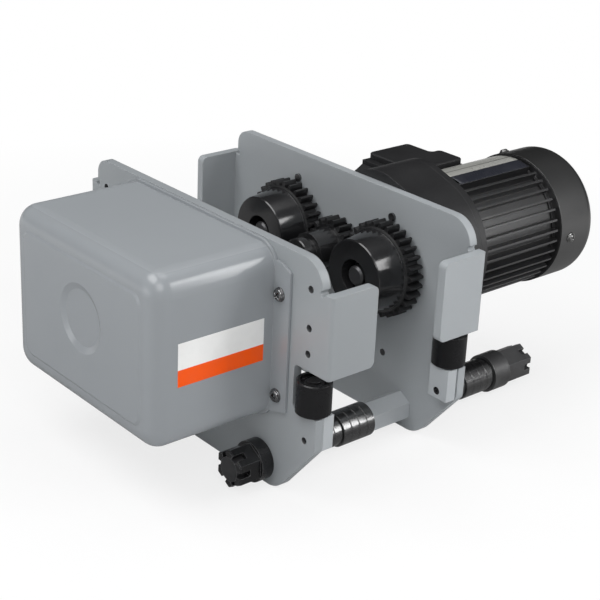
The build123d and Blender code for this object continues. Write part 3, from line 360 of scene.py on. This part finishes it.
# Wheels and drive pinion: cast iron, machined on tread and teeth and dipped in gloss black.
# The coat shines on tread and hub; their edges are painted lighter as painted highlights. The teeth are
# dull.
dip_light = (0.018, 0.018, 0.019)
dip_dark = (0.011, 0.011, 0.012)
dip_edge_highlight = (0.050, 0.050, 0.053)
wheel_black = coated(
    "wheel_black", dip_light, dip_dark, drift=30.0, peel=700.0, gloss=(0.12, 0.22), lift=0.04, coat=0.4,
    edge=0.0007, edge_paint=dip_edge_highlight, turned="Y", lines=1300.0, depth=0.35, teeth=(0.072, 0.0412),
)
dress(wheel_black, *["wheel_" + corner for corner in corners])
pinion_black = coated(
    "pinion_black", dip_light, dip_dark, drift=30.0, peel=700.0, gloss=(0.14, 0.26), lift=0.04,
    coat=0.4, edge=0.0007, edge_paint=dip_edge_highlight, turned="Y", lines=1300.0, depth=0.35, teeth=(0.0, 0.0232),
)
dress(pinion_black, "drive_pinion", "pinion_cap")
# Axle and bearing edges are painted lighter: painted highlights.
axle_black = coated(
    "axle_black", (0.085, 0.085, 0.088), (0.055, 0.055, 0.058), drift=50.0, peel=1200.0,
    gloss=(0.24, 0.38), lift=0.05, metal=0.6, edge_paint=(0.25, 0.25, 0.26), turned="Y", lines=1800.0,
)
dress(axle_black, "wheel_axles", "cross_shaft_front", "cross_shaft_rear")
dress(axle_black, *["wheel_bearing_" + corner for corner in corners])

# Cross shafts: steel bars full of black spacer washers, with a castle nut at each end.
# Washers and nuts are blackened steel with a thin film of oil. The joints between washers are painted
# darker as painted shade, the nuts' corners lighter as painted highlights, and the far nuts take a
# lighter copy of the finish as painted light.
oiled_black = coated(
    "oiled_black", (0.012, 0.012, 0.013), (0.008, 0.008, 0.009), drift=45.0, peel=1100.0,
    gloss=(0.20, 0.30), lift=0.04, coat=0.6, edge=0.0007, edge_paint=(0.003, 0.003, 0.003), turned="Y",
    lines=1700.0, depth=0.3, shine=2.3,
)
dress(oiled_black, "washers_front", "washers_rear")
nut_black = coated(
    "nut_black", (0.013, 0.013, 0.014), (0.008, 0.008, 0.009), drift=60.0, peel=1000.0,
    gloss=(0.20, 0.32), lift=0.06, coat=0.2, edge=0.0008, edge_paint=(0.20, 0.20, 0.205), shine=1.5,
)
dress(nut_black, "castle_nuts_near")
# The far nuts take a lighter copy of the nut finish: painted light.
nut_lit_copy = coated(
    "nut_lit_copy", (0.060, 0.060, 0.062), (0.030, 0.030, 0.031), drift=60.0, peel=1000.0,
    gloss=(0.26, 0.38), lift=0.06, edge=0.0006, edge_paint=(0.18, 0.18, 0.185), shine=2.0,
)
dress(nut_lit_copy, "castle_nuts_far")

# Gear case and terminal box: aluminium castings in satin black, bolted through the far plate.
# The gears and shafts inside are bare steel, wet with oil.
# Casting edges are painted lighter: painted highlights.
satin_black = coated(
    "satin_black", (0.019, 0.019, 0.020), (0.014, 0.014, 0.015), drift=18.0, peel=800.0,
    gloss=(0.34, 0.50), lift=0.12, edge=0.0008, edge_paint=(0.055, 0.055, 0.058),
)
dress(satin_black, "gear_case", "gear_case_cover", "terminal_box", "terminal_box_lid")
dark_screw = coated(
    "dark_screw", (0.20, 0.20, 0.205), (0.11, 0.11, 0.113), drift=90.0, peel=1600.0, gloss=(0.16, 0.30),
    lift=0.04, metal=0.95, edge=0.0003,
)
dress(dark_screw, "gear_case_screws")
oiled_steel = coated(
    "oiled_steel", (0.36, 0.36, 0.37), (0.26, 0.26, 0.26), drift=70.0, peel=1300.0, gloss=(0.18, 0.34),
    lift=0.03, metal=1.0,
)
dress(
    oiled_steel, "output_shaft", "output_gear", "middle_shaft", "middle_gear", "motor_pinion",
    "gear_case_bearings", "motor_bearings", "rotor",
)

# Motor: finned aluminium housing and end shield in black, with a pressed fan cowl over the fan.
# Stator laminations, varnished copper and a moulded fan sit inside.
# Housing, shield and cowl edges are painted lighter: painted highlights.
fin_black = coated(
    "fin_black", (0.018, 0.018, 0.019), (0.012, 0.012, 0.013), drift=22.0, peel=900.0,
    gloss=(0.30, 0.42), lift=0.08, edge=0.0005, edge_paint=(0.085, 0.085, 0.088), shine=1.9,
)
dress(fin_black, "motor_housing", "motor_end_shield")
cowl_black = coated(
    "cowl_black", (0.015, 0.015, 0.015), (0.010, 0.010, 0.010), drift=14.0, peel=1000.0,
    gloss=(0.28, 0.37), lift=0.05, edge=0.0008, edge_paint=(0.050, 0.050, 0.052), shine=2.0,
)
dress(cowl_black, "fan_cowl")
lamination = coated(
    "lamination", (0.20, 0.20, 0.21), (0.12, 0.12, 0.13), drift=50.0, peel=1500.0, gloss=(0.4, 0.55),
    lift=0.05, metal=0.7, turned="Y", lines=2000.0,
)
dress(lamination, "stator_core")
varnished_copper = coated(
    "varnished_copper", (0.42, 0.16, 0.06), (0.26, 0.09, 0.03), drift=90.0, peel=1200.0,
    gloss=(0.25, 0.4), lift=0.1, metal=0.6,
)
dress(varnished_copper, "stator_windings")
moulded_black = coated(
    "moulded_black", (0.030, 0.030, 0.031), (0.022, 0.022, 0.023), drift=30.0, peel=1500.0,
    gloss=(0.42, 0.55), lift=0.06,
)
dress(moulded_black, "motor_fan", "cable_glands")


# Cowl screws: three button heads with a hexagon socket, each on a plain washer, in dull zinc.
# They go through the cowl into lugs of the end shield, evenly spaced round the motor.
def put_piece(name, mesh, material, body, smooth=True):
    """Put a mesh into the scene as a named piece that rides on a body."""
    if smooth:
        mesh.polygons.foreach_set("use_smooth", np.ones(len(mesh.polygons), bool))
    mesh.materials.append(material)
    piece = bpy.data.objects.new(name, mesh)
    bpy.context.scene.collection.objects.link(piece)
    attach(piece, body)
    return piece


def turned_disc(centre, outward, share, angle, lift):
    """Surface over a disc: radius share times angle, raised by lift along the outward direction."""
    outward = np.asarray(outward, float) / np.linalg.norm(outward)
    side = np.cross(outward, (0.0, 0.0, 1.0) if abs(outward[2]) < 0.9 else (1.0, 0.0, 0.0))
    side /= np.linalg.norm(side)
    other = np.cross(outward, side)
    flat = np.cos(angle)[..., None] * side + np.sin(angle)[..., None] * other
    return np.asarray(centre, float) + share[..., None] * flat + lift[..., None] * outward


def button_head(centre, outward, turn, radius, height):
    """Button head on a washer: a dome over part of the radius, sunk inside a hexagon, on a flat ring."""
    dome_share, socket_share = 0.78, 0.40
    rim = [0.76, dome_share, 0.96, 1.0, 1.0]
    share = np.concatenate([np.linspace(0.002, 0.44, 12), np.linspace(0.47, 0.74, 8), rim])
    angle = np.linspace(0.0, 2 * np.pi, 72, endpoint=False)
    s, a = np.meshgrid(share, angle, indexing="ij")
    washer = 0.22 * height
    dome = washer + (height - washer) * np.sqrt(np.maximum(0.0, 1.0 - (s / dome_share) ** 2.6))
    corner = np.cos((a + turn) % (np.pi / 3) - np.pi / 6)
    socket = np.clip((socket_share - s * corner) / 0.05, 0, 1)
    lift = np.where(s < dome_share, dome - 0.55 * height * socket, washer)
    lift[-2] = 0.7 * washer
    lift[-1] = 0.0
    return turned_disc(centre, outward, s * radius, a, lift)


def screw_set(name, head, places, radius, height, material):
    """Several like heads as one piece; places holds (centre, outward, turn) of each."""
    heads = [head(centre, outward, turn, radius, height) for centre, outward, turn in places]
    rows, columns = heads[0].shape[:2]
    index = np.arange(rows * columns).reshape(rows, columns)
    right = np.roll(index, -1, axis=1)
    ring = np.stack([index[:-1], index[1:], right[1:], right[:-1]], axis=-1).reshape(-1, 4).tolist()
    closed = ring + [index[0].tolist(), index[-1][::-1].tolist()]
    starts = [rows * columns * n for n in range(len(heads))]
    faces = [[start + corner for corner in face] for start in starts for face in closed]
    points = np.concatenate([each.reshape(-1, 3) for each in heads])
    mesh = bpy.data.meshes.new(name)
    mesh.from_pydata(points.tolist(), [], faces)
    mesh.update()
    return put_piece(name, mesh, material, "frame")


motor_axis = np.array([0.060, 0.0, 0.007])
cowl_radius = 0.069
cowl_screw_y = float(np.mean([corner[1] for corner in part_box("cowl_screws")]))
cowl_places = []
for third in range(3):
    bearing = np.radians(-3.0 + 120.0 * third)
    outward = np.array([np.cos(bearing), 0.0, np.sin(bearing)])
    seat = motor_axis + cowl_radius * outward + np.array([0, cowl_screw_y, 0])
    cowl_places.append((seat, outward, 0.4 + third))
zinc_screw = coated(
    "zinc_screw", (0.30, 0.30, 0.295), (0.17, 0.17, 0.17), drift=150.0, peel=1600.0, gloss=(0.20, 0.34),
    lift=0.06, metal=0.95, edge=0.0002,
)
cowl_heads = screw_set("cowl_screw_heads", button_head, cowl_places, 0.0056, 0.0034, zinc_screw)
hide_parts("cowl_screws")


# Rating plate: a thin blank foil plate rolled over the fins on top of the motor.
# Its upper half is bare bright foil with one dark rule along it, its lower half dark blue.
def patch_mesh(name, points):
    """Mesh of a grid of points (rows, columns, xyz), one face between each four neighbours."""
    rows, columns = points.shape[:2]
    index = np.arange(rows * columns).reshape(rows, columns)
    right = index[:, 1:]
    left = index[:, :-1]
    faces = np.stack([left[:-1], right[:-1], right[1:], left[1:]], axis=-1).reshape(-1, 4)
    mesh = bpy.data.meshes.new(name)
    mesh.from_pydata(points.reshape(-1, 3).tolist(), [], faces.tolist())
    mesh.update()
    return mesh


def banded_sheet(name, edge_axis, colours, edges, gloss, metal, shine):
    """Sheet in bands along an axis: the colours in turn, changing at each of the edges."""
    material = bpy.data.materials.new(name)
    material.use_nodes = True
    tree = material.node_tree
    shader = tree.nodes["Principled BSDF"]
    place = add_node(tree, "ShaderNodeTexCoord").outputs["Object"]
    parts = add_node(tree, "ShaderNodeSeparateXYZ", [("Vector", place)])
    speck = add_node(tree, "ShaderNodeTexNoise", [("Vector", place)], Scale=60.0, Detail=3.0)
    soft = 0.0002
    colour = colours[0]
    for edge, following in zip(edges, colours[1:]):
        past = ranged(tree, parts.outputs[edge_axis], edge - soft, edge + soft)
        colour = mixed(tree, past, colour, following)
    faint = ranged(tree, speck.outputs["Fac"], 0.35, 0.65, 0.0, 0.06)
    tree.links.new(mixed(tree, faint, colour, (0.2, 0.2, 0.2)), shader.inputs["Base Color"])
    tree.links.new(ranged(tree, speck.outputs["Fac"], 0.3, 0.7, *gloss), shader.inputs["Roughness"])
    shader.inputs["Metallic"].default_value = metal
    shader.inputs["IOR"].default_value = shine
    return material


foil = (0.46, 0.46, 0.43)
rule = (0.05, 0.05, 0.05)
ink = (0.024, 0.026, 0.036)
plate_sheet = banded_sheet(
    "plate_sheet", "X", [foil, rule, foil, ink], [0.0539, 0.0551, 0.0659], (0.24, 0.36), 0.25, 1.5
)
plate_bearings = np.radians(np.linspace(117.0, 72.0, 40))
plate_turn, plate_run = np.meshgrid(plate_bearings, np.linspace(0.166, 0.2655, 24), indexing="ij")
plate_radius = 0.0674
plate_x = motor_axis[0] + plate_radius * np.cos(plate_turn)
plate_z = motor_axis[2] + plate_radius * np.sin(plate_turn)
plate_mesh = patch_mesh("rating_plate", np.stack([plate_x, plate_run, plate_z], axis=-1))
rating_plate = put_piece("rating_plate", plate_mesh, plate_sheet, "frame")
plate_film = rating_plate.modifiers.new("thickness", "SOLIDIFY")
plate_film.thickness = 0.0006
plate_film.offset = 1.0


# Control box: deep-drawn sheet cover over the switchgear, in the grey of the plates but glossier.
# Dust dulls its top. Pan-head screws on washers hold it through a flange at each end.
def cross_head(centre, outward, turn, radius, height):
    """Pan head on a washer: a flattened dome over most of the radius, sunk along two crossed arms."""
    dome_share, arm_share, arm_reach = 0.88, 0.14, 0.56
    rim = [dome_share, 0.89, 0.98, 1.0, 1.0]
    share = np.concatenate([np.linspace(0.002, 0.70, 22), np.linspace(0.73, dome_share, 9), rim])
    angle = np.linspace(0.0, 2 * np.pi, 72, endpoint=False)
    s, a = np.meshgrid(share, angle, indexing="ij")
    washer = 0.22 * height
    dome = height * (0.42 + 0.58 * np.sqrt(np.maximum(0.0, 1.0 - (s / dome_share) ** 4)))
    arm = np.minimum(np.abs(s * np.cos(a + turn)), np.abs(s * np.sin(a + turn)))
    inside = np.clip((arm_share - arm) / 0.05, 0, 1) * np.clip((arm_reach - s) / 0.08, 0, 1)
    lift = dome - 0.60 * height * inside
    lift[-len(rim):] = washer
    lift[-2] = 0.7 * washer
    lift[-1] = 0.0
    return turned_disc(centre, outward, s * radius, a, lift)


# Box edges are painted lighter: painted highlights.
box_enamel = coated(
    "box_enamel", (0.300, 0.319, 0.336), (0.288, 0.306, 0.323), drift=6.0, peel=380.0,
    gloss=(0.15, 0.22), lift=0.012, dust=0.5, edge=0.0012, edge_paint=(0.35, 0.37, 0.385),
)
dress(box_enamel, "control_box_cover")
zinc_panel = coated(
    "zinc_panel", (0.55, 0.56, 0.55), (0.42, 0.43, 0.42), drift=25.0, peel=900.0, gloss=(0.3, 0.45),
    lift=0.03, metal=1.0,
)
dress(zinc_panel, "control_panel")
moulded_grey = coated(
    "moulded_grey", (0.12, 0.12, 0.13), (0.09, 0.09, 0.095), drift=30.0, peel=1400.0,
    gloss=(0.42, 0.55), lift=0.05,
)
dress(moulded_grey, "contactors", "terminal_strip")
varnished_iron = coated(
    "varnished_iron", (0.07, 0.06, 0.05), (0.04, 0.035, 0.03), drift=40.0, peel=1000.0,
    gloss=(0.3, 0.45), lift=0.08, metal=0.4,
)
dress(varnished_iron, "transformer")
glint_screw = coated(
    "glint_screw", (0.34, 0.34, 0.345), (0.10, 0.10, 0.103), drift=420.0, peel=900.0,
    gloss=(0.10, 0.24), lift=0.22, metal=0.95, edge=0.0003,
)
flange_face = -0.097
cover_places = [
    (np.array([end, flange_face, height]), np.array([0.0, -1.0, 0.0]), 0.5 + 9 * end + height * 20)
    for end in (-0.126, 0.120) for height in (0.0315, -0.067)
]
cover_heads = screw_set("cover_screw_heads", cross_head, cover_places, 0.0066, 0.0042, glint_screw)
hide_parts("cover_screws")

# Blank label on the box's side: a two-tone sticker with nothing printed on it.
# The lower part is orange and the upper white, on a film a fraction of a millimetre thick.
label_orange = (0.98, 0.100, 0.002)
label_white = (0.88, 0.88, 0.87)
label_sheet = banded_sheet(
    "label_sheet", "Z", [label_orange, label_white], [-0.0165], (0.34, 0.44), 0.0, 1.25
)
label_x = 0.1121
label_y, label_z = np.meshgrid(
    np.linspace(-0.200, -0.107, 20), np.linspace(-0.0325, 0.0085, 12), indexing="ij"
)
label_grid = np.stack([np.full_like(label_y, label_x), label_y, label_z], axis=-1)
label_mesh = patch_mesh("box_label", label_grid)
label = put_piece("box_label", label_mesh, label_sheet, "frame", smooth=False)
label_film = label.modifiers.new("thickness", "SOLIDIFY")
label_film.thickness = 0.0003
label_film.offset = 1.0

# Floor, light and camera: a pale studio floor that keeps the shadow and is white to the camera.
# Wide soft lamps stand in front and above and a tall one to the right, under a dim graded sky.
# Mirrored in the part, the floor glows dim close by and brighter outwards: a painted shadow under the
# part in its reflections.
floor_z = -0.1645
floor_size = 6.0
steps = np.linspace(-floor_size, floor_size, 9)
floor_grid = np.stack(np.meshgrid(steps, steps, [floor_z], indexing="ij"), axis=-1)[:, :, 0]
floor_mesh = patch_mesh("floor", floor_grid)
floor = bpy.data.objects.new("floor", floor_mesh)
bpy.context.scene.collection.objects.link(floor)
floor_paint = bpy.data.materials.new("floor_paint")
floor_paint.use_nodes = True
floor_tree = floor_paint.node_tree
floor_tree.nodes.remove(floor_tree.nodes["Principled BSDF"])
floor_place = add_node(floor_tree, "ShaderNodeTexCoord").outputs["Object"]
floor_reach = add_node(floor_tree, "ShaderNodeVectorMath", [(0, floor_place)], operation="LENGTH")
floor_far = floor_reach.outputs["Value"]
floor_path = add_node(floor_tree, "ShaderNodeLightPath")
floor_fade = ranged(floor_tree, floor_far, 0.35, 0.95, 0.78, 1.0)
seen_white = add_node(
    floor_tree, "ShaderNodeMath", [(0, floor_path.outputs["Is Camera Ray"]), (1, floor_fade)],
    operation="MULTIPLY",
)
floor_white = add_node(
    floor_tree, "ShaderNodeMath", [(0, seen_white.outputs[0]), (1, floor_path.outputs["Is Glossy Ray"])],
    operation="MAXIMUM",
)
# Glossy rays see the floor glow less near the part: painted shadow in the reflections.
dimming = ranged(floor_tree, floor_far, 0.33, 0.95, 0.80, 0.30)
mirrored_dim = add_node(
    floor_tree, "ShaderNodeMath", [(0, floor_path.outputs["Is Glossy Ray"]), (1, dimming)],
    operation="MULTIPLY",
)
glow_level = add_node(floor_tree, "ShaderNodeMath", [(1, mirrored_dim.outputs[0])], operation="SUBTRACT")
glow_level.inputs[0].default_value = 1.0
floor_diffuse = add_node(floor_tree, "ShaderNodeBsdfDiffuse", Color=(0.92, 0.92, 0.92, 1))
floor_glow = add_node(
    floor_tree, "ShaderNodeEmission", [("Strength", glow_level.outputs[0])], Color=(1, 1, 1, 1)
)
floor_mix = add_node(
    floor_tree, "ShaderNodeMixShader",
    [(0, floor_white.outputs[0]), (1, floor_diffuse.outputs[0]), (2, floor_glow.outputs[0])],
)
floor_tree.links.new(floor_mix.outputs[0], floor_tree.nodes["Material Output"].inputs["Surface"])
floor_mesh.materials.append(floor_paint)

world = bpy.data.worlds.new("studio")
bpy.context.scene.world = world
world.use_nodes = True
sky = world.node_tree
sky_soft = sky.nodes["Background"]
sky_soft.inputs["Color"].default_value = (0.97, 0.985, 1.0, 1)
sky_way = add_node(sky, "ShaderNodeTexCoord").outputs["Generated"]
sky_side = add_node(sky, "ShaderNodeVectorMath", [(0, sky_way)], operation="DOT_PRODUCT")
sky_side.inputs[1].default_value = (0.75, -0.35, 0.55)
sky_level = ranged(sky, sky_side.outputs["Value"], -0.35, 0.5, 0.03, 0.22)
sky.links.new(sky_level, sky_soft.inputs["Strength"])
sky_white = add_node(sky, "ShaderNodeBackground", Color=(1, 1, 1, 1), Strength=1.0)
sky_path = add_node(sky, "ShaderNodeLightPath")
sky_seen = add_node(
    sky, "ShaderNodeMath",
    [(0, sky_path.outputs["Is Camera Ray"]), (1, sky_path.outputs["Is Transmission Ray"])],
    operation="MAXIMUM",
)
sky_mix = add_node(
    sky, "ShaderNodeMixShader",
    [(0, sky_seen.outputs[0]), (1, sky_soft.outputs[0]), (2, sky_white.outputs[0])],
)
sky.links.new(sky_mix.outputs[0], sky.nodes["World Output"].inputs["Surface"])


def soft_lamp(name, place, aim, width, height, power):
    """A rectangular area lamp at a place, turned to its aim."""
    lamp = bpy.data.lights.new(name, "AREA")
    lamp.shape = "RECTANGLE"
    lamp.size = width
    lamp.size_y = height
    lamp.energy = power
    holder = bpy.data.objects.new(name, lamp)
    bpy.context.scene.collection.objects.link(holder)
    back = np.asarray(place, float) - np.asarray(aim, float)
    back /= np.linalg.norm(back)
    side = np.cross((0.0, 0.0, 1.0) if abs(back[2]) < 0.95 else (0.0, 1.0, 0.0), back)
    side /= np.linalg.norm(side)
    stance = np.eye(4)
    stance[:3] = np.stack([side, np.cross(back, side), back, np.asarray(place, float)], axis=1)
    holder.matrix_world = Matrix(stance.tolist())


soft_lamp("lamp_key", (1.03, -0.86, 1.05), (0.0, 0.0, 0.0), 0.9, 0.9, 7.5)
soft_lamp("lamp_front", (-0.23, -0.87, 1.44), (0.0, -0.05, 0.0), 1.3, 0.9, 16.5)
soft_lamp("lamp_right", (0.98, 0.66, 0.50), (0.06, 0.1, 0.0), 0.30, 0.90, 6.5)
soft_lamp("lamp_low", (-0.35, -1.6, 0.12), (0.0, -0.1, -0.05), 0.9, 0.4, 2.5)
soft_lamp("lamp_above", (0.0, 0.25, 1.6), (0.0, 0.0, 0.0), 0.9, 0.9, 5.0)

azimuth, elevation, roll = np.radians([49.71, 22.18, 2.24])
camera_aim = np.array([0.0, -0.00217, 0.0])
camera_distance = 1.4256
level = np.cos(elevation)
camera_back = np.array([np.sin(azimuth) * level, -np.cos(azimuth) * level, np.sin(elevation)])
camera_right = np.array([np.cos(azimuth), np.sin(azimuth), 0.0])
camera_up = np.cross(camera_back, camera_right)
stance = np.eye(4)
stance[:3, 0] = camera_right * np.cos(roll) + camera_up * np.sin(roll)
stance[:3, 1] = camera_up * np.cos(roll) - camera_right * np.sin(roll)
stance[:3, 2] = camera_back
stance[:3, 3] = camera_aim + camera_distance * camera_back
lens = bpy.data.cameras.new("camera")
lens.sensor_fit = "HORIZONTAL"
lens.sensor_width = 36.0
lens.lens = 87.70
lens.shift_x = 0.0415
lens.shift_y = -0.0643
camera = bpy.data.objects.new("camera", lens)
camera.matrix_world = Matrix(stance.tolist())
bpy.context.scene.collection.objects.link(camera)
bpy.context.scene.camera = camera
bpy.context.scene.view_settings.view_transform = "Standard"
